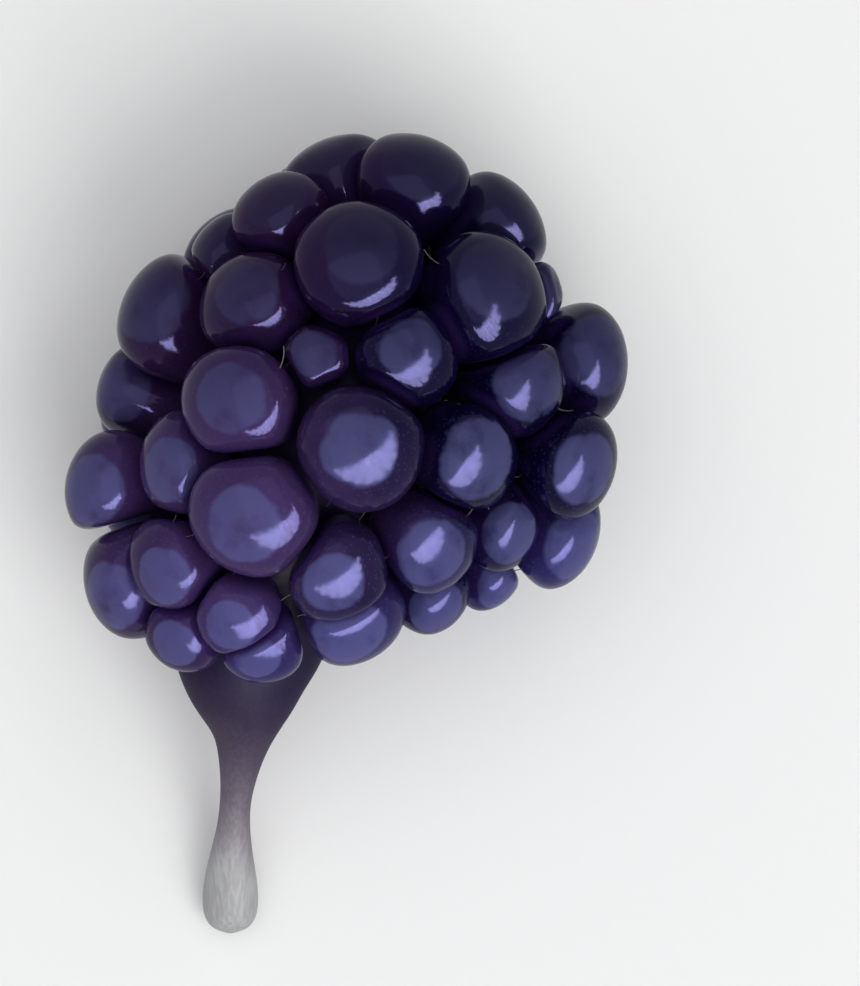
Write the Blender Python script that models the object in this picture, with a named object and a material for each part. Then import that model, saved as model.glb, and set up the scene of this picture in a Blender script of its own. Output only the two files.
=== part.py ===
"""A bramble berry, picked with its stalk and lying on its flatter side. Metres, +Z up from the surface.

The berry is an aggregate fruit. Each drupelet is a small fruit of its own with its own skin, set on the
receptacle, which is the swollen end of the stalk. Drupelets that touch press each other flat, so their
sides are walls between neighbours, and only their outer caps stay round. +Y runs from the stalk to the
tip of the berry.
"""

import math

import bmesh
import bpy
import numpy as np
from mathutils import Matrix, Vector

MM = 0.001

# The body that the drupelets' centres lie on: an egg's outline, domed up from its middle plane and down.
BODY_LONG = 10.0 * MM
BODY_SHORT = 8.9 * MM
BODY_TURN = math.radians(38.5)
MIDDLE_HEIGHT = 7.4 * MM
TOP_DOME = (6.4 * MM, 2.1)
UNDER_DOME = (6.4 * MM, 2.8)

# How drupelets crowd together: neighbours are drawn to a share of their radii's sum.
CROWDED = 0.94
NEIGHBOURS_WITHIN = 1.45
CROWDING_STEPS = 60
CROWDING_STEP = 0.12
SEAT_DEPTH = 0.8
WEIGHT = 0.08 * MM
SETTLE = 0.06 * MM

# How a drupelet spreads until it meets its neighbours, the receptacle and the surface it lies on.
GAP = 0.12 * MM
CORNER_POWER = 7.0  # how tightly a drupelet turns from its cap to its walls
SIDEWAYS_STRETCH = 1.27
INWARD_STRETCH = 1.9
SEGMENTS = 16  # round a drupelet's pole
RINGS = 11  # from pole to pole

# Drupelets round the berry's outline, each as (x, y, height over the middle plane, radius) in millimetres.
OUTLINE_DRUPELETS = (
    (-9.3, -3.2, 0.5, 1.85),
    (-8.3, -6.7, 0.9, 2.1),
    (-6.2, -8.6, 1.6, 1.6),
    (-3.3, -9.2, 2.2, 1.55),
    (0.2, -8.0, 2.2, 2.0),
    (3.5, -7.3, 0.5, 1.5),
    (5.7, -6.6, 0.7, 1.35),
    (8.2, -4.95, 0.2, 1.95),
    (8.8, -2.3, 1.6, 1.95),
    (9.1, 1.5, 0.5, 2.15),
    (7.1, 4.3, 1.9, 1.55),
    (5.8, 6.8, 0.8, 2.1),
    (2.6, 8.6, 0.8, 2.1),
    (-0.2, 8.6, 0.8, 2.1),
    (-2.5, 7.3, 1.6, 1.75),
    (-4.6, 5.75, 0.9, 1.6),
    (-6.8, 3.5, 1.2, 2.2),
    (-8.15, 0.6, 0.6, 1.75),
)

# Drupelets of the dome that faces up and of the one that faces down, as (x, y, radius) in millimetres.
TOP_DRUPELETS = (
    (0.5, 5.3, 2.3),
    (-3.3, 3.9, 2.1),
    (2.3, 1.8, 2.0),
    (-3.9, -0.1, 2.2),
    (-1.0, 1.7, 1.5),
    (0.5, -1.7, 2.4),
    (-3.4, -4.2, 2.4),
    (4.7, -2.1, 2.1),
    (3.2, -5.2, 2.0),
    (-6.6, -6.3, 1.8),
    (-0.3, -6.4, 1.9),
    (-4.2, -8.1, 1.6),
    (-6.1, -2.5, 1.9),
    (5.4, 4.0, 2.4),
    (6.7, 0.6, 2.0),
    (6.1, -4.6, 1.7),
)
UNDER_DRUPELETS = (
    (8.3, -0.4, 2.1),
    (7.2, 3.0, 2.0),
    (5.0, 5.4, 2.05),
    (2.4, 7.7, 2.15),
    (-1.3, 7.7, 2.1),
    (-4.5, 5.8, 2.0),
    (-6.8, 2.8, 2.1),
    (-7.9, -0.9, 2.1),
    (-8.3, -4.5, 2.0),
    (-6.7, -7.0, 1.7),
    (-3.6, -8.3, 1.5),
    (0.0, -7.5, 1.9),
    (3.2, -6.6, 2.1),
    (6.4, -5.0, 2.1),
    (5.2, 2.8, 2.1),
    (2.3, 4.6, 2.1),
    (-1.2, 4.3, 2.1),
    (-4.2, 1.9, 2.2),
    (-4.8, -2.3, 2.1),
    (-2.2, -4.7, 2.1),
    (1.9, -3.6, 2.2),
    (4.9, -1.1, 2.1),
    (1.6, 0.9, 2.0),
    (-1.4, -0.8, 2.1),
    (2.2, -7.6, 2.0),
)

# The stalk and receptacle, from the cut end inwards: (x, y, height above the surface, radius) in millimetres.
STALK_STATIONS = (
    (-4.72, -21.25, 1.0, 0.40),
    (-4.72, -21.05, 1.0, 0.78),
    (-4.72, -20.6, 1.0, 1.04),
    (-4.72, -20.0, 1.04, 1.12),
    (-4.70, -19.2, 1.3, 1.06),
    (-4.66, -18.2, 1.75, 0.88),
    (-4.58, -17.2, 2.3, 0.70),
    (-4.50, -16.2, 2.95, 0.63),
    (-4.38, -15.2, 3.55, 0.70),
    (-4.25, -14.2, 4.15, 0.90),
    (-4.12, -13.2, 4.65, 1.26),
    (-4.08, -12.2, 5.05, 1.90),
    (-4.08, -11.2, 5.4, 2.46),
    (-4.0, -10.0, 5.7, 2.95),
    (-3.7, -8.6, 6.0, 3.15),
    (-3.3, -7.0, 6.4, 3.3),
    (-2.6, -5.0, 6.9, 3.8),
    (-1.6, -2.4, 7.4, 4.2),
    (-0.4, 0.4, 7.8, 4.2),
    (0.7, 2.8, 8.0, 3.6),
    (1.6, 4.6, 8.1, 2.5),
    (2.1, 5.7, 8.1, 1.2),
)
STALK_SIDES = 16


def clear_scene():
    """Removes every object of the open scene."""
    for obj in list(bpy.data.objects):
        bpy.data.objects.remove(obj, do_unlink=True)


def make_material(name, colour, roughness):
    """A Principled material with the piece's own colour."""
    material = bpy.data.materials.new(name)
    material.use_nodes = True
    shader = material.node_tree.nodes["Principled BSDF"]
    shader.inputs["Base Color"].default_value = (*colour, 1.0)
    shader.inputs["Roughness"].default_value = roughness
    shader.inputs["Metallic"].default_value = 0.0
    return material


def add_object(name, mesh, material):
    """An object of the scene that holds the mesh in its material, shaded smooth."""
    mesh.materials.append(material)
    mesh.shade_smooth()
    obj = bpy.data.objects.new(name, mesh)
    bpy.context.scene.collection.objects.link(obj)
    return obj


def share_of_body(x, y):
    """How far out of the body's middle a place is: 0 at the middle and 1 on the body's outline."""
    along = x * math.cos(BODY_TURN) + y * math.sin(BODY_TURN)
    across = -x * math.sin(BODY_TURN) + y * math.cos(BODY_TURN)
    return math.hypot(along / BODY_LONG, across / BODY_SHORT)


def dome_height(x, y, dome):
    """Height of a dome, given as (depth, roundness), over the middle plane."""
    depth, roundness = dome
    share = min(share_of_body(x, y), 1.0)
    return depth * (1 - share**roundness) ** (1 / roundness)


def first_seats():
    """(name, centre, radius) of every drupelet, before they crowd together."""
    for number, (x, y, rise, radius) in enumerate(OUTLINE_DRUPELETS, 1):
        centre = np.array((x * MM, y * MM, MIDDLE_HEIGHT + rise * MM))
        yield f"outline_drupelet_{number:02d}", centre, radius * MM
    groups = (("top", TOP_DRUPELETS, TOP_DOME, 1), ("under", UNDER_DRUPELETS, UNDER_DOME, -1))
    for group, drupelets, dome, side in groups:
        for number, (x, y, radius) in enumerate(drupelets, 1):
            x, y = x * MM, y * MM
            centre = np.array((x, y, MIDDLE_HEIGHT + side * dome_height(x, y, dome)))
            yield f"{group}_drupelet_{number:02d}", centre, radius * MM


def crowded_seats():
    """The seats once the drupelets have crowded together, clear of the stalk and of the surface.

    Those that show from above only move up and down, so that their places in plan stay.
    """
    names, places, radii = zip(*first_seats())
    places, radii = np.array(places), np.array(radii)
    sums = radii[:, None] + radii
    across = places[:, None] - places
    apart = np.linalg.norm(across, axis=2)
    near = (apart < NEIGHBOURS_WITHIN * sums) & (apart > 0)
    freedom = np.array([(1, 1, 1) if name.startswith("under") else (0, 0, 1) for name in names])
    for _ in range(CROWDING_STEPS):
        across = places[:, None] - places
        apart = np.maximum(np.linalg.norm(across, axis=2), MM)
        pulls = np.where(near, CROWDED * sums / apart - 1, 0.0)
        places += CROWDING_STEP * freedom * np.sum(pulls[..., None] * across, axis=1)
        places[freedom[:, 0] == 1, 2] -= WEIGHT
        for place, radius, free in zip(places, radii, freedom):
            clearances = stalk_clearances(place)
            nearest = np.argmin(clearances)
            away = free * (place - np.array(STALK_STATIONS[nearest][:3]) * MM)
            shortfall = SEAT_DEPTH * radius - clearances[nearest]
            if shortfall > 0:
                place += shortfall * away / np.linalg.norm(away)
            place[2] = max(place[2], radius - SETTLE)
    return list(zip(names, places, radii))


def stalk_clearances(point):
    """Distances from a point to the balls that the stalk's stations stand for. They are negative inside."""
    stations = np.array(STALK_STATIONS) * MM
    return np.linalg.norm(stations[:, :3] - point, axis=1) - stations[:, 3]


def stalk_rings():
    """The stalk's centres, and the rings of points round them, from the cut end inwards."""
    stations = np.array(STALK_STATIONS) * MM
    centres, radii = stations[:, :3], stations[:, 3]
    tangents = np.gradient(centres, axis=0)
    tangents /= np.linalg.norm(tangents, axis=1)[:, None]
    angles = 2 * np.pi * np.arange(STALK_SIDES) / STALK_SIDES
    rings = []
    for centre, tangent, radius in zip(centres, tangents, radii):
        side = np.cross(tangent, (0, 0, 1))
        side /= np.linalg.norm(side)
        up = np.cross(side, tangent)
        rings.append(centre + radius * (np.outer(np.cos(angles), side) + np.outer(np.sin(angles), up)))
    return centres, np.array(rings)


def stalk_mesh():
    """The stalk with its knob, flare and receptacle: rings joined by quads, closed by a fan at each end."""
    centres, rings = stalk_rings()
    body = bmesh.new()
    rows = [[body.verts.new(point) for point in ring] for ring in rings]
    for near, far in zip(rows, rows[1:]):
        for i in range(STALK_SIDES):
            j = (i + 1) % STALK_SIDES
            body.faces.new((near[i], near[j], far[j], far[i]))
    ends = (rows[0], 2 * centres[0] - centres[1]), (rows[-1], 2 * centres[-1] - centres[-2])
    for ring, beyond in ends:
        middle = Vector(np.mean([v.co for v in ring], axis=0))
        tip = body.verts.new(middle.lerp(Vector(beyond), 0.5))
        for i in range(STALK_SIDES):
            body.faces.new((ring[i], ring[(i + 1) % STALK_SIDES], tip))
    return finished(body, "stalk")


def finished(body, name):
    """The bmesh, cut off flat where it rests on the surface, as a mesh whose faces point out."""
    cut = bmesh.ops.bisect_plane(
        body,
        geom=[*body.verts, *body.edges, *body.faces],
        dist=1e-7,
        plane_co=(0, 0, 0),
        plane_no=(0, 0, -1),
        clear_outer=True,
    )
    rim = [e for e in cut["geom_cut"] if isinstance(e, bmesh.types.BMEdge)]
    if rim:
        bmesh.ops.contextual_create(body, geom=rim)
    bmesh.ops.recalc_face_normals(body, faces=body.faces)
    mesh = bpy.data.meshes.new(name)
    body.to_mesh(mesh)
    body.free()
    return mesh


def walls_of(index, seats, stalk_points):
    """Planes that bound a drupelet, as unit normals and distances from its centre, and its outward direction."""
    _, centre, radius = seats[index]
    normals, distances = [], []
    for other, (_, place, size) in enumerate(seats):
        apart = np.linalg.norm(place - centre)
        if other == index or apart >= INWARD_STRETCH * (radius + size):
            continue
        normals.append((place - centre) / apart)
        distances.append(apart / 2 + SIDEWAYS_STRETCH**2 * (radius**2 - size**2) / (2 * apart) - GAP / 2)
    nearest = np.array(STALK_STATIONS[np.argmin(stalk_clearances(centre))][:3]) * MM
    outward = (centre - nearest) / np.linalg.norm(centre - nearest)
    reached = np.linalg.norm(stalk_points - centre, axis=1) < INWARD_STRETCH * radius
    if reached.any():
        normals.append(-outward)
        distances.append(np.min((centre - stalk_points[reached]) @ outward) - GAP)
    return np.array(normals), np.array(distances), outward


def stretch_towards(outwardness):
    """A free drupelet's reach over its radius, by the cosine of the angle to its outward direction."""
    along = 1.0 if outwardness > 0 else INWARD_STRETCH
    sideways_squared = 1 - outwardness**2
    return 1 / math.sqrt((outwardness / along) ** 2 + sideways_squared / SIDEWAYS_STRETCH**2)


def drupelet_mesh(name, centre, radius, normals, distances, outward):
    """A ball spread sideways and inwards, pressed in softly by its walls. Its pole points outwards."""
    body = bmesh.new()
    bmesh.ops.create_uvsphere(body, u_segments=SEGMENTS, v_segments=RINGS, radius=1.0)
    turn = Vector(outward).to_track_quat("Z", "Y").to_matrix()
    for vert in body.verts:
        reach = radius * stretch_towards(vert.co.z)
        direction = np.array(turn @ vert.co)
        pressed = reach**-CORNER_POWER
        facing = normals @ direction
        ahead = facing > 1e-6
        pressed += np.sum((facing[ahead] / distances[ahead]) ** CORNER_POWER)
        vert.co = Vector(centre + direction * pressed ** (-1 / CORNER_POWER))
    return finished(body, name)


def centre_on_origin(objects):
    """Moves the whole berry sideways, so that the middle of its box stands over the origin."""
    corners = np.array([vert.co for obj in objects for vert in obj.data.vertices])
    middle = (corners.min(axis=0) + corners.max(axis=0)) / 2
    shift = Matrix.Translation((-middle[0], -middle[1], 0.0))
    for obj in objects:
        obj.data.transform(shift)


def main():
    clear_scene()
    skin = make_material("drupelet_skin", (0.030, 0.018, 0.062), 0.28)
    rind = make_material("stalk_rind", (0.20, 0.17, 0.20), 0.6)
    objects = [add_object("stalk", stalk_mesh(), rind)]
    stalk_points = stalk_rings()[1].reshape(-1, 3)
    seats = crowded_seats()
    for index, (name, centre, radius) in enumerate(seats):
        walls = walls_of(index, seats, stalk_points)
        mesh = drupelet_mesh(name, centre, radius, *walls)
        objects.append(add_object(name, mesh, skin))
    centre_on_origin(objects)


main()
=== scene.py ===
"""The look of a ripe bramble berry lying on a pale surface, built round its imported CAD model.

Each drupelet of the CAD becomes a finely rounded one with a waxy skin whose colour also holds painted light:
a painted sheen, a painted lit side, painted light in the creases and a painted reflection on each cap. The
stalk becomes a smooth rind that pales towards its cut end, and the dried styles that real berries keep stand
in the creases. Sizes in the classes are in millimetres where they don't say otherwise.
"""

import logging
import math
from dataclasses import dataclass, field
from enum import Enum
from typing import Any, Mapping, Sequence

import bmesh
import bpy
import numpy as np
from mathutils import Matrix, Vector
from mathutils.bvhtree import BVHTree


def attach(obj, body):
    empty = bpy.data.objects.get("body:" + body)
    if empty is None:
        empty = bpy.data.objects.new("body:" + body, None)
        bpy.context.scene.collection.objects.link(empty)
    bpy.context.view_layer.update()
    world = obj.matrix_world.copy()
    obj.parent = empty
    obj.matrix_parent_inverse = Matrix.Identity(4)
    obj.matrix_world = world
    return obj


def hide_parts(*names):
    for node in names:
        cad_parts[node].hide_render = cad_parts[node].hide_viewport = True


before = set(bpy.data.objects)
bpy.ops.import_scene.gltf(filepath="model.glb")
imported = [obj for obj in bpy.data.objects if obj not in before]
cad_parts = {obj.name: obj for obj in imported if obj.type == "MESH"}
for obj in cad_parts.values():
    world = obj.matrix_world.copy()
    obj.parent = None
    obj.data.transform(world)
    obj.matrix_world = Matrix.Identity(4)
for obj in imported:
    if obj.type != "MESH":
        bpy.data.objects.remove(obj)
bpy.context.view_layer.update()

MM = 0.001
BODY = "root"
STALK_NODE = "stalk"
WELD = 1e-6  # in metres
SEED = 11

Tree = bpy.types.NodeTree
Socket = bpy.types.NodeSocket
Feeds = Mapping[int | str, Any] | Sequence[Any]
Border = tuple[float, float]

# Settings and sockets of the nodes that blend: an eased step from one value to another, and two colours.
EASED = {"interpolation_type": "SMOOTHSTEP"}
COLOURS = {"data_type": "RGBA"}
SHARE, FIRST, SECOND, BLENDED = 0, 6, 7, 2

log = logging.getLogger("bramble_berry")


class Slot(Enum):
    """The record's material slots."""

    SKIN = "drupelet_skin"
    RIND = "stalk_rind"


# --------------------------------------------------------------------------- colour and node helpers


def linear(hex_colour: str) -> tuple[float, float, float, float]:
    """Turns an sRGB hex colour into a linear one.

    Args:
        hex_colour: Six hex digits.

    Returns:
        Red, green, blue and an alpha of one.
    """
    channels = (int(hex_colour[i : i + 2], 16) / 255 for i in (0, 2, 4))
    red, green, blue = (c / 12.92 if c <= 0.04045 else ((c + 0.055) / 1.055) ** 2.4 for c in channels)
    return red, green, blue, 1.0


def add_node(tree: Tree, kind: str, feeds: Feeds = (), out: int | str = 0, **settings: Any) -> Socket:
    """Adds a node with its settings, and gives its inputs their values or links.

    Args:
        tree: The tree that gets the node.
        kind: The node's type.
        feeds: A value or the output that feeds it, for each input in order, or by the input's name or index.
        out: The name or index of the output that is wanted.
        settings: The node's own properties.

    Returns:
        That output of the new node.
    """
    node = tree.nodes.new(kind)
    for name, value in settings.items():
        setattr(node, name, value)
    for key, value in feeds.items() if isinstance(feeds, Mapping) else enumerate(feeds):
        if isinstance(value, Socket):
            tree.links.new(value, node.inputs[key])
        else:
            node.inputs[key].default_value = value
    return node.outputs[out]


def fill_ramp(ramp: bpy.types.ColorRamp, stops: Sequence[tuple[float, str]]) -> None:
    """Gives a new colour ramp its stops.

    Args:
        ramp: The ramp.
        stops: Places from zero to one, each with its hex colour, in rising order.
    """
    elements = ramp.elements
    while len(elements) < len(stops):
        elements.new(0.5)
    for element, (place, colour) in zip(elements, stops):
        element.position = place
        element.color = linear(colour)


def in_millimetres(tree: Tree, scale: Sequence[float] = (1, 1, 1)) -> Socket:
    """Adds object coordinates counted in millimetres.

    Args:
        tree: The tree that gets the nodes.
        scale: How much finer a pattern runs along each axis.

    Returns:
        The coordinates' output.
    """
    place = add_node(tree, "ShaderNodeTexCoord", out="Object")
    stretched = [share / MM for share in scale]
    return add_node(tree, "ShaderNodeMapping", {"Vector": place, "Scale": stretched})


def new_material(name: str) -> tuple[bpy.types.Material, Tree, bpy.types.Node]:
    """Makes a material.

    Args:
        name: The material's name.

    Returns:
        The material, its node tree and its Principled shader.
    """
    material = bpy.data.materials.new(name)
    material.use_nodes = True
    tree = material.node_tree
    return material, tree, tree.nodes["Principled BSDF"]


# --------------------------------------------------------------------------- finishes


@dataclass(frozen=True)
class WaxySkin:
    """A ripe drupelet's skin, grown thin and taut over its juice, with a slate-blue patch on its cap that is
    partly a wax coat and partly a painted reflection of the overhead light.

    A border is where a change starts and where it is full. A slope says how far a border runs askew.
    """

    # Taut wet-looking skin gives small sharp highlights with a violet tinge, and deep colour round them. The
    # slate-blue patch on the cap is partly wax, a little less glossy and rubbed off where drupelets touch,
    # and partly a painted reflection of the overhead light, lighter towards the stalk.
    plum: str = "261334"
    navy: str = "0a0626"
    navy_slope: float = -0.25
    navy_border: Border = (-6.0, 2.5)
    # The lighter plum patch left of the middle is a painted sheen, a broad soft reflection put into the
    # colour.
    painted_sheen: str = "43305f"
    painted_sheen_middle: tuple[float, float, float] = (-3.9, 0.7, 11.0)
    painted_sheen_border: Border = (9.5, 1.0)
    # The lighter indigo towards the lower right is a painted lit side, where the side key light falls.
    painted_lit_side: str = "27235a"
    painted_lit_side_slope: float = -0.45
    painted_lit_side_border: Border = (-0.5, -7.5)
    wander: float = 3.0
    # A lighter violet where drupelets nearly touch is painted light, put into the creases against their
    # shade.
    painted_crease_light: str = "38235f"
    painted_crease_light_border: Border = (0.7, 0.12)
    painted_crease_light_cover: float = 0.8
    mottle_size: float = 1.3
    mottle_detail: float = 4.0

    # Shades of the cap's patch: partly wax, partly a painted reflection, lighter towards the stalk.
    bloom_and_reflection: tuple[tuple[float, str], ...] = (
        (0.0, "5a5b93"),
        (0.22, "525484"),
        (0.42, "3f3f68"),
        (0.62, "242239"),
        (1.0, "1c192c"),
    )
    bloom_and_reflection_start: float = -2.0
    bloom_and_reflection_end: float = 20.0
    bloom_and_reflection_cover: float = 0.62
    bloom_and_reflection_edge: Border = (0.74, 0.81)  # cosines of the angle to the cap's middle
    bloom_and_reflection_raggedness: float = 0.16
    rubbed_border: Border = (0.15, 0.5)
    worn_border: Border = (0.10, 0.55)  # of the mottling, from zero to one

    # Real pores are a few hundredths of a millimetre apart. They are drawn far coarser, so that they show.
    pore_size: float = 0.2
    pore_depth: float = 0.003
    pore_strength: float = 0.5
    fleck_border: Border = (0.34, 0.12)  # from a pore's middle, in shares of the pore size
    fleck_cover: float = 0.16

    gloss: float = 0.10
    waxed_gloss: float = 0.13
    uneven_gloss: float = 0.05
    ior: float = 1.39
    highlight: str = "b4b0ff"

    def build(self) -> bpy.types.Material:
        """Makes the skin's material.

        Returns:
            The material.
        """
        material, tree, shader = new_material("waxy_berry_skin")
        place = in_millimetres(tree)
        gap = add_node(tree, "ShaderNodeAttribute", out="Fac", attribute_name="gap_mm")
        patches = {"Vector": place, "Scale": 1 / self.mottle_size, "Detail": self.mottle_detail}
        mottle = add_node(tree, "ShaderNodeTexNoise", patches)
        specks = {"Vector": place, "Scale": 1 / self.pore_size}
        pores = add_node(tree, "ShaderNodeTexVoronoi", specks, feature="F1")

        skin = self.ripened_and_painted_light(tree, place, mottle)
        # Painted light: the skin turns a lighter violet in the creases, against their shade.
        crease_lightening = add_node(tree, "ShaderNodeMapRange", (gap, *self.painted_crease_light_border), **EASED)
        crease_lightening = add_node(tree, "ShaderNodeMath", (crease_lightening, self.painted_crease_light_cover), operation="MULTIPLY")
        shades = {SHARE: crease_lightening, FIRST: skin, SECOND: linear(self.painted_crease_light)}
        skin = add_node(tree, "ShaderNodeMix", shades, BLENDED, **COLOURS)

        # This colour is partly wax and partly a painted reflection of the overhead light.
        wax = self.wax_and_reflection_colour(tree, place)
        bloom_and_reflection_mask = self.worn_bloom_and_reflection(tree, gap, mottle)
        cover = add_node(tree, "ShaderNodeMath", (bloom_and_reflection_mask, self.bloom_and_reflection_cover), operation="MULTIPLY")
        shades = {SHARE: cover, FIRST: skin, SECOND: wax}
        colour = add_node(tree, "ShaderNodeMix", shades, BLENDED, **COLOURS)
        # Small flecks take the same colour, partly wax and partly painted reflection.
        flecks = add_node(tree, "ShaderNodeMapRange", (pores, *self.fleck_border), **EASED)
        flecks = add_node(tree, "ShaderNodeMath", (flecks, self.fleck_cover), operation="MULTIPLY")
        shades = {SHARE: flecks, FIRST: colour, SECOND: wax}
        colour = add_node(tree, "ShaderNodeMix", shades, BLENDED, **COLOURS)
        tree.links.new(colour, shader.inputs["Base Color"])

        dulled = (bloom_and_reflection_mask, self.waxed_gloss - self.gloss, self.gloss)
        rough = add_node(tree, "ShaderNodeMath", dulled, operation="MULTIPLY_ADD")
        rough = (mottle, self.uneven_gloss, rough)
        rough = add_node(tree, "ShaderNodeMath", rough, operation="MULTIPLY_ADD")
        tree.links.new(rough, shader.inputs["Roughness"])
        dimples = {"Height": pores, "Distance": self.pore_depth * MM, "Strength": self.pore_strength}
        tree.links.new(add_node(tree, "ShaderNodeBump", dimples), shader.inputs["Normal"])
        shader.inputs["IOR"].default_value = self.ior
        shader.inputs["Specular Tint"].default_value = linear(self.highlight)
        return material

    def ripened_and_painted_light(self, tree: Tree, place: Socket, mottle: Socket) -> Socket:
        """Colours the bare skin by how ripe each side of the berry is, with a painted sheen as a lighter
        plum patch left of the middle and a painted lit side as a lighter indigo towards the lower right.

        Args:
            tree: The material's tree.
            place: The place in millimetres.
            mottle: The uneven ripeness, from zero to one.

        Returns:
            The bare skin's colour.
        """
        ripeness = add_node(tree, "ShaderNodeAttribute", out="Fac", attribute_name="ripeness")
        shift = (ripeness, self.wander, -self.wander)
        shift = add_node(tree, "ShaderNodeMath", shift, operation="MULTIPLY_ADD")
        wander = add_node(tree, "ShaderNodeMath", (mottle, self.wander, shift), operation="MULTIPLY_ADD")
        across, along, _ = add_node(tree, "ShaderNodeSeparateXYZ", (place,)).node.outputs

        side = add_node(tree, "ShaderNodeMath", (along, self.navy_slope, across), operation="MULTIPLY_ADD")
        # Runs towards the lower right, where the painted lit side lies.
        key_side = add_node(tree, "ShaderNodeMath", (across, self.painted_lit_side_slope, along), operation="MULTIPLY_ADD")
        centre = (place, self.painted_sheen_middle)
        apart = add_node(tree, "ShaderNodeVectorMath", centre, "Value", operation="DISTANCE")
        colour = linear(self.plum)
        regions = (
            (side, self.navy_border, self.navy),
            # The lighter plum patch: a painted sheen.
            (apart, self.painted_sheen_border, self.painted_sheen),
            # The lighter indigo: a painted lit side.
            (key_side, self.painted_lit_side_border, self.painted_lit_side),
        )
        for reach, border, shade in regions:
            strayed = add_node(tree, "ShaderNodeMath", (reach, wander), operation="ADD")
            share = add_node(tree, "ShaderNodeMapRange", (strayed, *border), **EASED)
            shades = {SHARE: share, FIRST: colour, SECOND: linear(shade)}
            colour = add_node(tree, "ShaderNodeMix", shades, BLENDED, **COLOURS)
        return colour

    def wax_and_reflection_colour(self, tree: Tree, place: Socket) -> Socket:
        """Colours the cap's patch, partly wax and partly a painted reflection, from slate blue at the stalk
        to near black at the tip.

        Args:
            tree: The material's tree.
            place: The place in millimetres.

        Returns:
            The wax's colour.
        """
        span = self.bloom_and_reflection_end - self.bloom_and_reflection_start
        along = add_node(tree, "ShaderNodeSeparateXYZ", (place,), "Y")
        share = (along, 1 / span, -self.bloom_and_reflection_start / span)
        share = add_node(tree, "ShaderNodeMath", share, operation="MULTIPLY_ADD")
        colour = add_node(tree, "ShaderNodeValToRGB", (share,))
        fill_ramp(colour.node.color_ramp, self.bloom_and_reflection)
        return colour

    def worn_bloom_and_reflection(self, tree: Tree, gap: Socket, mottle: Socket) -> Socket:
        """Lays the patch on the caps, partly wax and partly a painted reflection of the overhead light,
        ragged at its edge, thin in patches and rubbed off near neighbours.

        Args:
            tree: The material's tree.
            gap: The distance to the next drupelet in millimetres.
            mottle: The uneven ripeness, from zero to one.

        Returns:
            How much wax and painted reflection there is, from zero to one.
        """
        cap = add_node(tree, "ShaderNodeAttribute", out="Fac", attribute_name="cap")
        cap = add_node(tree, "ShaderNodeMath", (cap, -self.bloom_and_reflection_raggedness / 2), operation="ADD")
        ragged = (mottle, self.bloom_and_reflection_raggedness, cap)
        ragged = add_node(tree, "ShaderNodeMath", ragged, operation="MULTIPLY_ADD")
        cap_share = add_node(tree, "ShaderNodeMapRange", (ragged, *self.bloom_and_reflection_edge), **EASED)
        apart = add_node(tree, "ShaderNodeMapRange", (gap, *self.rubbed_border), **EASED)
        cap_share = add_node(tree, "ShaderNodeMath", (cap_share, apart), operation="MULTIPLY")
        left = add_node(tree, "ShaderNodeMapRange", (mottle, *self.worn_border), **EASED)
        return add_node(tree, "ShaderNodeMath", (cap_share, left), operation="MULTIPLY")


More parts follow.
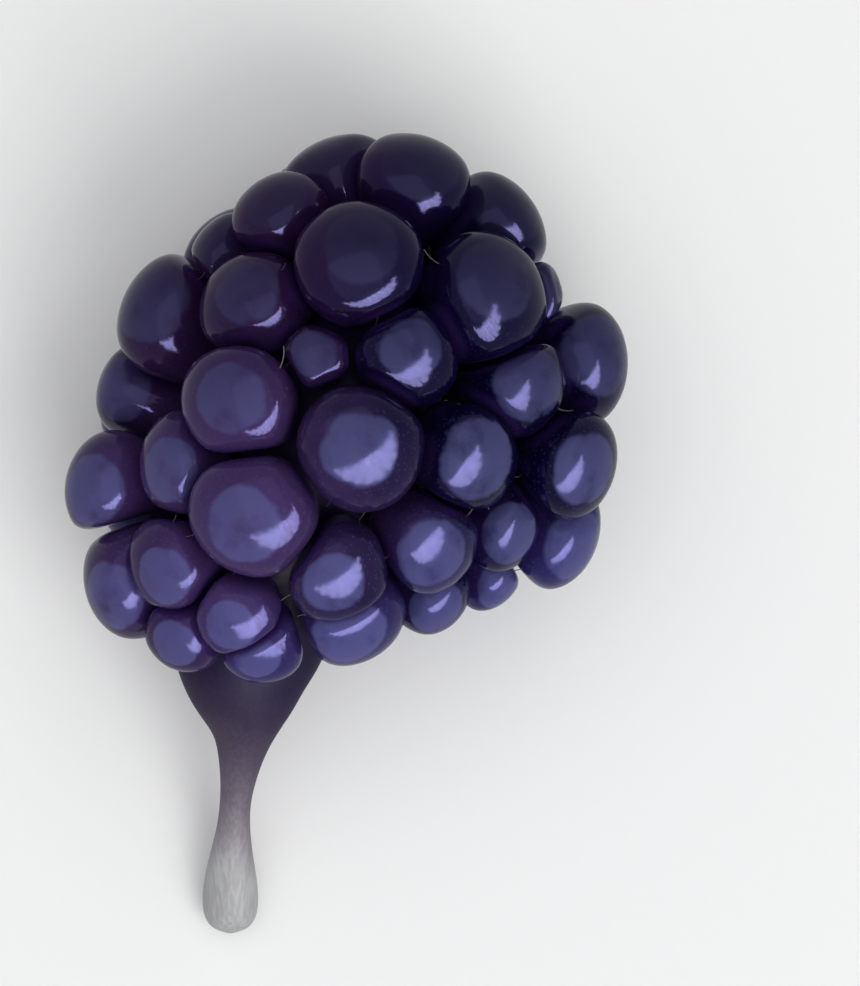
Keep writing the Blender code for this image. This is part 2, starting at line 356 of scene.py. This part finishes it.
@dataclass(frozen=True)
class StalkRind:
    """A stalk's rind, grown smooth and matt, stained by the berry at one end and bleached where it was cut.

    The stops' places are distances from the cut end.
    """

    # Matt plant skin gives a soft broad shade with no clear highlight, and its fibres give fine streaks.
    stops: tuple[tuple[float, str], ...] = (
        (0.0, "b0b0b0"),
        (2.5, "b0b0b0"),
        (3.3, "a09da0"),
        (4.1, "8d878e"),
        (5.7, "6e6572"),
        (7.3, "51475a"),
        (8.9, "352a44"),
        (10.5, "1f133a"),
        (12.5, "10062f"),
    )
    tilt: float = 0.35
    blotch_size: float = 1.25
    blotch_detail: float = 3.0
    blotch_wander: float = 0.6

    # Real fibres are a few hundredths of a millimetre wide. They are drawn coarser, so that they show.
    fibre_width: float = 0.14
    fibre_length: float = 3.0
    fibre_depth: float = 0.012
    fibre_strength: float = 0.6
    streak: str = "8c8790"
    streak_border: Border = (0.62, 0.40)  # of the fibres' pattern, from zero to one
    streak_cover: float = 0.22

    roughness: float = 0.52
    uneven_roughness: float = 0.16
    sheen_level: float = 0.12

    def build(self, end: Sequence[float]) -> bpy.types.Material:
        """Makes the rind's material.

        Args:
            end: Where the stalk ends in plan, in millimetres.

        Returns:
            The material.
        """
        material, tree, shader = new_material("smooth_stalk_rind")
        fine = [1 / self.fibre_width, 1 / self.fibre_length, 1 / self.fibre_width]
        strands = {"Vector": in_millimetres(tree, fine), "Scale": 1.0, "Detail": 2.0}
        fibres = add_node(tree, "ShaderNodeTexNoise", strands)
        streaks = add_node(tree, "ShaderNodeMapRange", (fibres, *self.streak_border), **EASED)
        streaks = add_node(tree, "ShaderNodeMath", (streaks, self.streak_cover), operation="MULTIPLY")
        shades = {SHARE: streaks, FIRST: self.faded(tree, end), SECOND: linear(self.streak)}
        colour = add_node(tree, "ShaderNodeMix", shades, BLENDED, blend_type="MULTIPLY", **COLOURS)
        tree.links.new(colour, shader.inputs["Base Color"])

        rough = (fibres, self.uneven_roughness, self.roughness - self.uneven_roughness / 2)
        rough = add_node(tree, "ShaderNodeMath", rough, operation="MULTIPLY_ADD")
        tree.links.new(rough, shader.inputs["Roughness"])
        ridges = {"Height": fibres, "Distance": self.fibre_depth * MM, "Strength": self.fibre_strength}
        tree.links.new(add_node(tree, "ShaderNodeBump", ridges), shader.inputs["Normal"])
        shader.inputs["Specular IOR Level"].default_value = self.sheen_level
        return material

    def faded(self, tree: Tree, end: Sequence[float]) -> Socket:
        """Fades the stain along the stalk, with a tilted and blotchy border.

        Args:
            tree: The material's tree.
            end: Where the stalk ends in plan, in millimetres.

        Returns:
            The rind's colour without its streaks.
        """
        place = in_millimetres(tree)
        patches = {"Vector": place, "Scale": 1 / self.blotch_size, "Detail": self.blotch_detail}
        blotches = add_node(tree, "ShaderNodeTexNoise", patches)
        x, y, _ = add_node(tree, "ShaderNodeSeparateXYZ", (place,)).node.outputs
        start = -self.blotch_wander / 2 - end[1] - self.tilt * end[0]
        along = (blotches, self.blotch_wander, start)
        along = add_node(tree, "ShaderNodeMath", along, operation="MULTIPLY_ADD")
        along = add_node(tree, "ShaderNodeMath", (x, self.tilt, along), operation="MULTIPLY_ADD")
        along = add_node(tree, "ShaderNodeMath", (y, along), operation="ADD")
        length = self.stops[-1][0]
        share = add_node(tree, "ShaderNodeMath", (along, 1 / length), operation="MULTIPLY")
        colour = add_node(tree, "ShaderNodeValToRGB", (share,))
        fill_ramp(colour.node.color_ramp, [(far / length, shade) for far, shade in self.stops])
        return colour


@dataclass(frozen=True)
class DriedStyle:
    """A style that withered to a dry thread, dark brown with paler patches."""

    # Dry plant fibre gives no highlight at all: each thread reads as a fine dull line.
    dark: str = "1b1222"
    pale: str = "4a3838"
    patch_size: float = 0.25
    roughness: float = 0.7

    def build(self) -> bpy.types.Material:
        """Makes the threads' material.

        Returns:
            The material.
        """
        material, tree, shader = new_material("dried_style")
        patches = {"Vector": in_millimetres(tree), "Scale": 1 / self.patch_size, "Detail": 2.0}
        noise = add_node(tree, "ShaderNodeTexNoise", patches)
        shades = {SHARE: noise, FIRST: linear(self.dark), SECOND: linear(self.pale)}
        colour = add_node(tree, "ShaderNodeMix", shades, BLENDED, **COLOURS)
        tree.links.new(colour, shader.inputs["Base Color"])
        shader.inputs["Roughness"].default_value = self.roughness
        return material


@dataclass(frozen=True)
class PaleCard:
    """Pressed matt card, nearly white, for the surface that the berry lies on."""

    # Uncoated card gives an even pale ground with a soft shadow. Its real tooth is about 0.1 mm, and it is
    # drawn five times as coarse, so that it shows, as painted shade: a slightly darker colour in patches of
    # noise.
    colour: str = "f8f8f7"
    painted_tooth_shade: str = "e6e5e4"
    painted_tooth_shade_cover: float = 0.06
    tooth: float = 0.5
    roughness: float = 0.9
    sheen_level: float = 0.1

    def build(self) -> bpy.types.Material:
        """Makes the card's material.

        Returns:
            The material.
        """
        material, tree, shader = new_material("pale_card")
        grain = {"Vector": in_millimetres(tree), "Scale": 1 / self.tooth}
        noise = add_node(tree, "ShaderNodeTexNoise", grain)
        # Painted shade of the card's tooth: a slightly darker colour where the noise is high.
        share = add_node(tree, "ShaderNodeMath", (noise, self.painted_tooth_shade_cover), operation="MULTIPLY")
        shades = {SHARE: share, FIRST: linear(self.colour), SECOND: linear(self.painted_tooth_shade)}
        colour = add_node(tree, "ShaderNodeMix", shades, BLENDED, **COLOURS)
        tree.links.new(colour, shader.inputs["Base Color"])
        shader.inputs["Roughness"].default_value = self.roughness
        shader.inputs["Specular IOR Level"].default_value = self.sheen_level
        return material


# --------------------------------------------------------------------------- meshes


def corners_of(mesh: bpy.types.Mesh) -> np.ndarray:
    """Reads the places of a mesh's corners.

    Args:
        mesh: The mesh.

    Returns:
        The places, one row each.
    """
    places = np.empty(len(mesh.vertices) * 3, np.float32)
    mesh.vertices.foreach_get("co", places)
    return places.reshape(-1, 3).astype(float)


def welded_copy(source: bpy.types.Object) -> bpy.types.Mesh:
    """Copies a CAD node's mesh and joins its loose triangles.

    Args:
        source: The CAD node's object.

    Returns:
        The joined copy.
    """
    body = bmesh.new()
    body.from_mesh(source.data)
    bmesh.ops.remove_doubles(body, verts=body.verts, dist=WELD)
    mesh = bpy.data.meshes.new(source.name + "_welded")
    body.to_mesh(mesh)
    body.free()
    return mesh


def put(name: str, mesh: bpy.types.Mesh) -> bpy.types.Object:
    """Puts a mesh in the scene, shaded smooth.

    Args:
        name: The object's name.
        mesh: The mesh, with its place in its corners.

    Returns:
        The new object, at the origin.
    """
    mesh.shade_smooth()
    thing = bpy.data.objects.new(name, mesh)
    bpy.context.scene.collection.objects.link(thing)
    return thing


def bake(thing: bpy.types.Object) -> None:
    """Turns an object's modifiers into plain mesh.

    Args:
        thing: The object, which loses its modifiers.
    """
    graph = bpy.context.evaluated_depsgraph_get()
    mesh = bpy.data.meshes.new_from_object(thing.evaluated_get(graph), depsgraph=graph)
    thing.modifiers.clear()
    old, thing.data = thing.data, mesh
    mesh.name = thing.name
    bpy.data.meshes.remove(old)


def finish_piece(thing: bpy.types.Object, slot: Slot, *nodes: str) -> None:
    """Hangs a finished piece on the berry.

    Args:
        thing: The piece.
        slot: Not used.
        nodes: The CAD nodes that it stands for.
    """
    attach(thing, BODY)
    if nodes:
        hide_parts(*nodes)
    log.info("%s: %d faces", thing.name, len(thing.data.polygons))


def run_tree(thing: bpy.types.Object, tree: Tree, **sizes: Any) -> None:
    """Runs a geometry tree on an object and keeps its result as plain mesh.

    Args:
        thing: The object.
        tree: The geometry tree.
        sizes: The tree's inputs by name, with underscores for spaces.
    """
    modifier = thing.modifiers.new(tree.name, "NODES")
    modifier.node_group = tree
    for item in tree.interface.items_tree:
        wanted = item.name.replace(" ", "_")
        if item.in_out == "INPUT" and wanted in sizes:
            modifier[item.identifier] = sizes[wanted]
    bake(thing)


def new_tree(name: str, inputs: Mapping[str, str]) -> tuple[Tree, Mapping[str, Socket]]:
    """Starts a geometry tree.

    Args:
        name: The tree's name.
        inputs: The name and kind of each input after the geometry.

    Returns:
        The tree, and what its inputs give by name.
    """
    tree = bpy.data.node_groups.new(name, "GeometryNodeTree")
    tree.interface.new_socket("Geometry", in_out="INPUT", socket_type="NodeSocketGeometry")
    for label, kind in inputs.items():
        tree.interface.new_socket(label, in_out="INPUT", socket_type="NodeSocket" + kind)
    tree.interface.new_socket("Geometry", in_out="OUTPUT", socket_type="NodeSocketGeometry")
    return tree, tree.nodes.new("NodeGroupInput").outputs


def end_tree(tree: Tree, shape: Socket, material: Socket) -> None:
    """Ends a geometry tree with real geometry in one material.

    Args:
        tree: The tree.
        shape: The output that holds the shape.
        material: The output that holds the material.
    """
    real = add_node(tree, "GeometryNodeRealizeInstances", (shape,))
    dressed = add_node(tree, "GeometryNodeSetMaterial", {"Geometry": real, "Material": material})
    tree.links.new(dressed, tree.nodes.new("NodeGroupOutput").inputs[0])


# --------------------------------------------------------------------------- drupelets


@dataclass
class Drupelet:
    """One drupelet, rounded finely through the corners of its CAD solid."""

    node: str
    ripeness: float
    mesh: bpy.types.Mesh = field(init=False)
    places: np.ndarray = field(init=False)
    middle: np.ndarray = field(init=False)

    def __post_init__(self) -> None:
        """Reads the CAD solid."""
        self.mesh = welded_copy(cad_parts[self.node])
        self.places = corners_of(self.mesh)
        self.middle = (self.places.min(axis=0) + self.places.max(axis=0)) / 2

    @property
    def reach(self) -> float:
        """The farthest corner's distance from the middle."""
        return float(np.linalg.norm(self.places - self.middle, axis=1).max())

    def walls(self) -> tuple[list[Vector], list[tuple[int, ...]]]:
        """The CAD solid's corners and faces."""
        return [v.co.copy() for v in self.mesh.vertices], [tuple(p.vertices) for p in self.mesh.polygons]

    def rounded(self, cuts: int) -> bpy.types.Mesh:
        """Makes the fine skin: a ball whose reach in each direction runs smoothly through every CAD corner.

        The reach is a cubic radial basis fit over the directions, plus a linear part.

        Args:
            cuts: How often the ball's faces are split.

        Returns:
            The skin's mesh. It stays flat where the drupelet rests on the surface.
        """
        offsets = self.places - self.middle
        reaches = np.linalg.norm(offsets, axis=1)
        known = offsets / reaches[:, None]
        count = len(known)
        bends = np.linalg.norm(known[:, None] - known, axis=2) ** 3
        planes = np.column_stack([np.ones(count), known])
        system = np.block([[bends, planes], [planes.T, np.zeros((4, 4))]])
        weights = np.linalg.solve(system, np.concatenate([reaches, np.zeros(4)]))

        body = bmesh.new()
        bmesh.ops.create_icosphere(body, subdivisions=cuts, radius=1.0)
        ball = np.array([v.co for v in body.verts])
        ball /= np.linalg.norm(ball, axis=1)[:, None]
        terms = np.linalg.norm(ball[:, None] - known, axis=2) ** 3
        fitted = terms @ weights[:count] + np.column_stack([np.ones(len(ball)), ball]) @ weights[count:]
        skin = self.middle + ball * fitted[:, None]
        skin[:, 2] = np.maximum(skin[:, 2], 0.0)
        for vert, place in zip(body.verts, skin):
            vert.co = place
        mesh = bpy.data.meshes.new(self.node + "_skin")
        body.to_mesh(mesh)
        body.free()
        return mesh


def skin_relief_tree() -> Tree:
    """Builds the tree that gives a smooth skin its soft swells and dents, but leaves its flats alone.

    Returns:
        The tree.
    """
    inputs = {
        "Depth": "Float",
        "Swell Size": "Float",
        "Flat Height": "Float",
        "Seed": "Float",
        "Material": "Material",
    }
    tree, given = new_tree("skin_relief", inputs)
    place = add_node(tree, "GeometryNodeInputPosition")
    scaled = {0: place, "Scale": 1 / MM}
    scaled = add_node(tree, "ShaderNodeVectorMath", scaled, operation="SCALE")
    shift = add_node(tree, "ShaderNodeCombineXYZ", (given["Seed"],))
    moved = add_node(tree, "ShaderNodeVectorMath", (scaled, shift), operation="ADD")
    fineness = add_node(tree, "ShaderNodeMath", (1.0, given["Swell Size"]), operation="DIVIDE")
    swells = {"Vector": moved, "Scale": fineness, "Detail": 0.0}
    swell = add_node(tree, "ShaderNodeTexNoise", swells)
    swell = add_node(tree, "ShaderNodeMath", (swell, 0.5), operation="SUBTRACT")
    swell = add_node(tree, "ShaderNodeMath", (swell, given["Depth"]), operation="MULTIPLY")
    height = add_node(tree, "ShaderNodeSeparateXYZ", (place,), "Z")
    free = add_node(tree, "ShaderNodeMapRange", {"Value": height, "From Max": given["Flat Height"]})
    swell = add_node(tree, "ShaderNodeMath", (swell, free), operation="MULTIPLY")
    offset = {0: add_node(tree, "GeometryNodeInputNormal"), "Scale": swell}
    offset = add_node(tree, "ShaderNodeVectorMath", offset, operation="SCALE")
    shaped = add_node(tree, "GeometryNodeSetPosition", {"Geometry": given["Geometry"], "Offset": offset})
    end_tree(tree, shaped, given["Material"])
    return tree


@dataclass
class DrupeletCluster:
    """All the drupelets of the berry."""

    cuts: int = 5  # how often a skin's faces are split
    relief: float = 0.025
    swell_size: float = 1.8
    flat_height: float = 0.4
    seed_spread: float = 100
    farthest_gap: float = 4.0
    reach_out: float = 1.6  # how far beyond touching a neighbour still counts
    # Facing up puts the cap's painted reflection where the overhead light would show.
    lift: float = 1.2  # how much a cap faces up, against one outwards
    skins: list[bpy.types.Object] = field(default_factory=list)

    def build(self, finish: WaxySkin) -> None:
        """Makes each drupelet's skin and dresses it.

        Args:
            finish: The skin's finish.
        """
        rng = np.random.default_rng(SEED)
        names = sorted(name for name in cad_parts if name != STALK_NODE)
        drupelets = [Drupelet(name, float(rng.random())) for name in names]
        tree = skin_relief_tree()
        material = finish.build()
        for drupelet in drupelets:
            mesh = drupelet.rounded(self.cuts)
            self.mark(mesh, drupelet, drupelets)
            skin = put(drupelet.node + "_skin", mesh)
            run_tree(
                skin,
                tree,
                Depth=self.relief * MM,
                Swell_Size=self.swell_size,
                Flat_Height=self.flat_height * MM,
                Seed=self.seed_spread * drupelet.ripeness,
                Material=material,
            )
            finish_piece(skin, Slot.SKIN, drupelet.node)
            self.skins.append(skin)

    def mark(self, mesh: bpy.types.Mesh, drupelet: Drupelet, others: Sequence[Drupelet]) -> None:
        """Stores what the finish reads at each corner of a skin.

        These are the distance to the next drupelet in millimetres, the cosine of the angle to the middle of
        the cap, which faces outwards and up, and the drupelet's ripeness.

        Args:
            mesh: The drupelet's skin.
            drupelet: The drupelet.
            others: Every drupelet of the berry.
        """
        points: list[Vector] = []
        faces: list[tuple[int, ...]] = []
        for other in others:
            apart = np.linalg.norm(other.middle - drupelet.middle)
            if other is drupelet or apart > drupelet.reach + other.reach + self.reach_out * MM:
                continue
            more_points, more_faces = other.walls()
            faces += [tuple(i + len(points) for i in face) for face in more_faces]
            points += more_points
        tree = BVHTree.FromPolygons(points, faces)
        far = self.farthest_gap * MM
        gaps = [(tree.find_nearest(v.co, far)[3] or far) / MM for v in mesh.vertices]
        outwards = drupelet.middle - np.mean([other.middle for other in others], axis=0)
        axis = outwards / np.linalg.norm(outwards) + (0, 0, self.lift)
        rays = corners_of(mesh) - drupelet.middle
        caps = rays @ (axis / np.linalg.norm(axis)) / np.linalg.norm(rays, axis=1)
        ripeness = [drupelet.ripeness] * len(gaps)
        for name, values in (("gap_mm", gaps), ("cap", caps), ("ripeness", ripeness)):
            mesh.attributes.new(name, "FLOAT", "POINT").data.foreach_set("value", values)


# --------------------------------------------------------------------------- stalk


@dataclass
class Stalk:
    """The stalk and receptacle, smoothed through the corners of its CAD solid."""

    levels: int = 3  # of subdivision
    passes: int = 4  # that bring the smooth surface onto the corners
    sharpest_join: float = math.radians(75)  # between triangles that become one face

    def build(self, finish: StalkRind) -> None:
        """Makes the smooth rind and dresses it.

        Args:
            finish: The rind's finish.
        """
        mesh = welded_copy(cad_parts[STALK_NODE])
        body = bmesh.new()
        body.from_mesh(mesh)
        limits = {"angle_face_threshold": self.sharpest_join, "angle_shape_threshold": self.sharpest_join}
        bmesh.ops.join_triangles(body, faces=body.faces, **limits)
        body.to_mesh(mesh)
        body.free()
        rind = put("stalk_rind", mesh)
        self.smooth(rind)
        places = corners_of(rind.data)
        places[:, 2] = np.maximum(places[:, 2], 0.0)
        rind.data.vertices.foreach_set("co", places.ravel())
        rind.data.materials.clear()
        rind.data.materials.append(finish.build(places[places[:, 1].argmin(), :2] / MM))
        rind.data.shade_smooth()
        finish_piece(rind, Slot.RIND, STALK_NODE)

    def smooth(self, rind: bpy.types.Object) -> None:
        """Subdivides the rind, with its corners moved out until the smooth surface runs through the CAD's.

        Args:
            rind: The rind as joined faces.
        """
        mesh = rind.data
        wanted = corners_of(mesh)
        smooth = rind.modifiers.new("smooth", "SUBSURF")
        smooth.levels = smooth.render_levels = 1
        for _ in range(self.passes):
            graph = bpy.context.evaluated_depsgraph_get()
            reached = corners_of(rind.evaluated_get(graph).data)[: len(wanted)]
            moved = corners_of(mesh) + wanted - reached
            mesh.vertices.foreach_set("co", moved.ravel())
            mesh.update()
        smooth.levels = smooth.render_levels = self.levels
        bake(rind)


# --------------------------------------------------------------------------- dried styles


@dataclass
class StyleThreads:
    """The withered styles that stay on the berry, in the creases between drupelets.

    Leans, rises and the taper are shares of a thread's length or thickness, and the turns are in radians.
    """

    density: float = 0.055
    length: float = 0.8
    shortest: float = 0.45
    thickness: float = 0.028
    taper: float = 0.6
    middle_lean: float = 0.12
    middle_rise: float = 0.6
    tip_lean: float = 0.55
    joints: int = 7
    sides: int = 6
    tilt: float = 0.5
    turn: float = 3.14
    nearest_gap: float = 0.28
    widest_gap: float = 0.8
    lowest: float = 2.5

    def build(self, skins: Sequence[bpy.types.Object], finish: DriedStyle) -> None:
        """Stands the threads on the skins.

        Args:
            skins: The drupelets' skins.
            finish: The threads' finish.
        """
        body = bmesh.new()
        for skin in skins:
            body.from_mesh(skin.data)
        mesh = bpy.data.meshes.new("all_skins")
        body.to_mesh(mesh)
        body.free()
        threads = put("dried_styles", mesh)
        run_tree(
            threads,
            self.tree(),
            Density=self.density / MM**2,
            Length=self.length * MM,
            Shortest=self.shortest,
            Thickness=self.thickness * MM,
            Nearest_Gap=self.nearest_gap,
            Widest_Gap=self.widest_gap,
            Lowest=self.lowest * MM,
            Seed=SEED,
            Material=finish.build(),
        )
        finish_piece(threads, Slot.RIND)

    def tree(self) -> Tree:
        """Builds the tree that scatters the threads and turns each its own way.

        Returns:
            The tree.
        """
        inputs = {
            "Density": "Float",
            "Length": "Float",
            "Shortest": "Float",
            "Thickness": "Float",
            "Nearest Gap": "Float",
            "Widest Gap": "Float",
            "Lowest": "Float",
            "Seed": "Int",
            "Material": "Material",
        }
        tree, given = new_tree("dried_styles", inputs)
        scatter = {
            "Mesh": given["Geometry"],
            "Selection": self.creases(tree, given),
            "Density": given["Density"],
            "Seed": given["Seed"],
        }
        spots = add_node(tree, "GeometryNodeDistributePointsOnFaces", scatter)
        most = (self.tilt, self.tilt, self.turn)
        turns = {0: [-angle for angle in most], 1: most, "Seed": given["Seed"]}
        spin = add_node(tree, "FunctionNodeRandomValue", turns, data_type="FLOAT_VECTOR")
        turned = (spots.node.outputs["Rotation"], spin)
        turned = add_node(tree, "FunctionNodeRotateRotation", turned, rotation_space="LOCAL")
        sizes = {2: given["Shortest"], 3: 1.0, "Seed": given["Seed"]}
        size = add_node(tree, "FunctionNodeRandomValue", sizes, 1, data_type="FLOAT")
        stand = {"Points": spots, "Instance": self.thread(tree, given), "Rotation": turned, "Scale": size}
        stood = add_node(tree, "GeometryNodeInstanceOnPoints", stand)
        end_tree(tree, stood, given["Material"])
        return tree

    def creases(self, tree: Tree, given: Mapping[str, Socket]) -> Socket:
        """Picks the faces that are near a neighbour, but not too near for a thread, and high enough.

        Args:
            tree: The geometry tree.
            given: What the tree's inputs give.

        Returns:
            True on those faces.
        """
        gap = add_node(tree, "GeometryNodeInputNamedAttribute", {"Name": "gap_mm"}, data_type="FLOAT")
        place = add_node(tree, "GeometryNodeInputPosition")
        height = add_node(tree, "ShaderNodeSeparateXYZ", (place,), "Z")
        apart = add_node(
            tree, "FunctionNodeCompare", (gap, given["Nearest Gap"]), operation="GREATER_THAN"
        )
        near = add_node(tree, "FunctionNodeCompare", (gap, given["Widest Gap"]), operation="LESS_THAN")
        high = add_node(tree, "FunctionNodeCompare", (height, given["Lowest"]), operation="GREATER_THAN")
        both = add_node(tree, "FunctionNodeBooleanMath", (apart, near), operation="AND")
        return add_node(tree, "FunctionNodeBooleanMath", (both, high), operation="AND")

    def thread(self, tree: Tree, given: Mapping[str, Socket]) -> Socket:
        """Makes one thread, which stands up, leans over and thins towards its tip.

        Args:
            tree: The geometry tree.
            given: What the tree's inputs give.

        Returns:
            The thread's mesh.
        """
        length = given["Length"]
        lean = add_node(tree, "ShaderNodeMath", (length, self.middle_lean), operation="MULTIPLY")
        rise = add_node(tree, "ShaderNodeMath", (length, self.middle_rise), operation="MULTIPLY")
        middle = add_node(tree, "ShaderNodeCombineXYZ", {"X": lean, "Z": rise})
        lean = add_node(tree, "ShaderNodeMath", (length, self.tip_lean), operation="MULTIPLY")
        tip = add_node(tree, "ShaderNodeCombineXYZ", {"X": lean, "Z": length})
        bow = {"Resolution": self.joints, "Start": (0, 0, 0), "Middle": middle, "End": tip}
        curve = add_node(tree, "GeometryNodeCurveQuadraticBezier", bow)
        along = add_node(tree, "GeometryNodeSplineParameter", out="Factor")
        thinned = add_node(tree, "ShaderNodeMath", (along, -self.taper, 1.0), operation="MULTIPLY_ADD")
        curve = add_node(tree, "GeometryNodeSetCurveRadius", {"Curve": curve, "Radius": thinned})
        ring = {"Resolution": self.sides, "Radius": given["Thickness"]}
        ring = add_node(tree, "GeometryNodeCurvePrimitiveCircle", ring)
        tube = {"Curve": curve, "Profile Curve": ring, "Fill Caps": True}
        return add_node(tree, "GeometryNodeCurveToMesh", tube)


# --------------------------------------------------------------------------- studio


class Reach(Enum):
    """What a light does: it lights surfaces, shows in their gloss, or both."""

    ALL = "all"
    SHAPE = "shape"
    SHEEN = "sheen"


@dataclass(frozen=True)
class SoftLight:
    """A soft box that faces the berry. Its angles are in degrees and its sizes in metres."""

    name: str
    azimuth: float
    elevation: float
    distance: float
    width: float
    height: float
    brightness: float
    reach: Reach = Reach.ALL

    def build(self, target: Vector) -> None:
        """Puts the light in the scene.

        Args:
            target: What it faces.
        """
        lamp = bpy.data.lights.new(self.name, "AREA")
        lamp.shape = "RECTANGLE"
        lamp.size, lamp.size_y = self.width, self.height
        lamp.energy = self.brightness * math.pi * self.width * self.height
        turn, rise = math.radians(self.azimuth), math.radians(self.elevation)
        away = Vector((math.cos(turn) * math.cos(rise), math.sin(turn) * math.cos(rise), math.sin(rise)))
        box = bpy.data.objects.new(self.name, lamp)
        box.location = target + away * self.distance
        box.rotation_euler = away.to_track_quat("Z", "Y").to_euler()
        box.visible_camera = False
        box.visible_diffuse = self.reach is not Reach.SHEEN
        box.visible_glossy = self.reach is not Reach.SHAPE
        bpy.context.scene.collection.objects.link(box)


@dataclass
class Studio:
    """The surface, lights and camera. Angles are in degrees and sizes in metres, the lens in millimetres.

    The strips stand in an arc, tallest in its middle, and only show in the gloss, as one crescent.
    """

    aim: tuple[float, float, float] = (0.00333, 0.00176, 0.0065)
    lens: float = 400.0
    view_height: float = 0.03944
    nearest_seen: float = 0.001
    floor_size: float = 3.0
    floor_cells: int = 4
    air: str = "f2f3f6"
    ambient: float = 0.5
    overhead: SoftLight = SoftLight(
        "overhead_box", azimuth=110, elevation=84, distance=1.5, width=2.0, height=2.0, brightness=0.66
    )
    key: SoftLight = SoftLight(
        "side_key",
        azimuth=-55,
        elevation=48,
        distance=1.2,
        width=0.8,
        height=0.8,
        brightness=3.0,
        reach=Reach.SHAPE,
    )
    arc_azimuths: tuple[float, ...] = (-109, -96, -82, -68, -55, -41, -28, -14, -1)
    arc_heights: tuple[float, ...] = (0.10, 0.28, 0.43, 0.54, 0.60, 0.54, 0.43, 0.28, 0.10)
    arc_elevation: float = 41
    arc_distance: float = 0.95
    arc_width: float = 0.175
    arc_brightness: float = 15.0

    def build(self, card: PaleCard) -> None:
        """Makes the surface, lights and camera.

        Args:
            card: The surface's finish.
        """
        target = Vector(self.aim)
        self.lay_surface(card)
        self.hang_lights(target)
        self.set_camera(target)

    def lay_surface(self, card: PaleCard) -> None:
        """Lays the surface. It doesn't show in the gloss, where it would veil the dark skins.

        Args:
            card: The surface's finish.
        """
        body = bmesh.new()
        cells = self.floor_cells
        bmesh.ops.create_grid(body, x_segments=cells, y_segments=cells, size=self.floor_size / 2)
        mesh = bpy.data.meshes.new("pale_surface")
        body.to_mesh(mesh)
        body.free()
        floor = put("pale_surface", mesh)
        floor.data.materials.append(card.build())
        floor.visible_glossy = False

    def hang_lights(self, target: Vector) -> None:
        """Hangs the soft boxes and the arc of strips, and lights the air.

        Args:
            target: What the lights face.
        """
        self.overhead.build(target)
        self.key.build(target)
        for number, (azimuth, height) in enumerate(zip(self.arc_azimuths, self.arc_heights), 1):
            strip = SoftLight(
                f"side_strip_{number}",
                azimuth=azimuth,
                elevation=self.arc_elevation,
                distance=self.arc_distance,
                width=self.arc_width,
                height=height,
                brightness=self.arc_brightness,
                reach=Reach.SHEEN,
            )
            strip.build(target)
        world = bpy.data.worlds.new("studio_air")
        world.use_nodes = True
        air = world.node_tree.nodes["Background"]
        air.inputs["Color"].default_value = linear(self.air)
        air.inputs["Strength"].default_value = self.ambient
        bpy.context.scene.world = world

    def set_camera(self, target: Vector) -> None:
        """Sets the camera straight above the target, far off with a long lens.

        Args:
            target: What the camera faces.
        """
        lens = bpy.data.cameras.new("camera")
        lens.lens = self.lens
        lens.clip_start = self.nearest_seen
        camera = bpy.data.objects.new("camera", lens)
        distance = self.view_height * self.lens / lens.sensor_width
        camera.location = target + Vector((0, 0, distance))
        bpy.context.scene.collection.objects.link(camera)
        bpy.context.scene.camera = camera
        bpy.context.scene.view_settings.view_transform = "Standard"


def main() -> None:
    """Builds the berry and its studio."""
    logging.basicConfig(level=logging.INFO, format="%(name)s: %(message)s")
    cluster = DrupeletCluster()
    cluster.build(WaxySkin())
    Stalk().build(StalkRind())
    StyleThreads().build(cluster.skins, DriedStyle())
    Studio().build(PaleCard())
    bpy.context.view_layer.update()


if __name__ == "__main__":
    main()
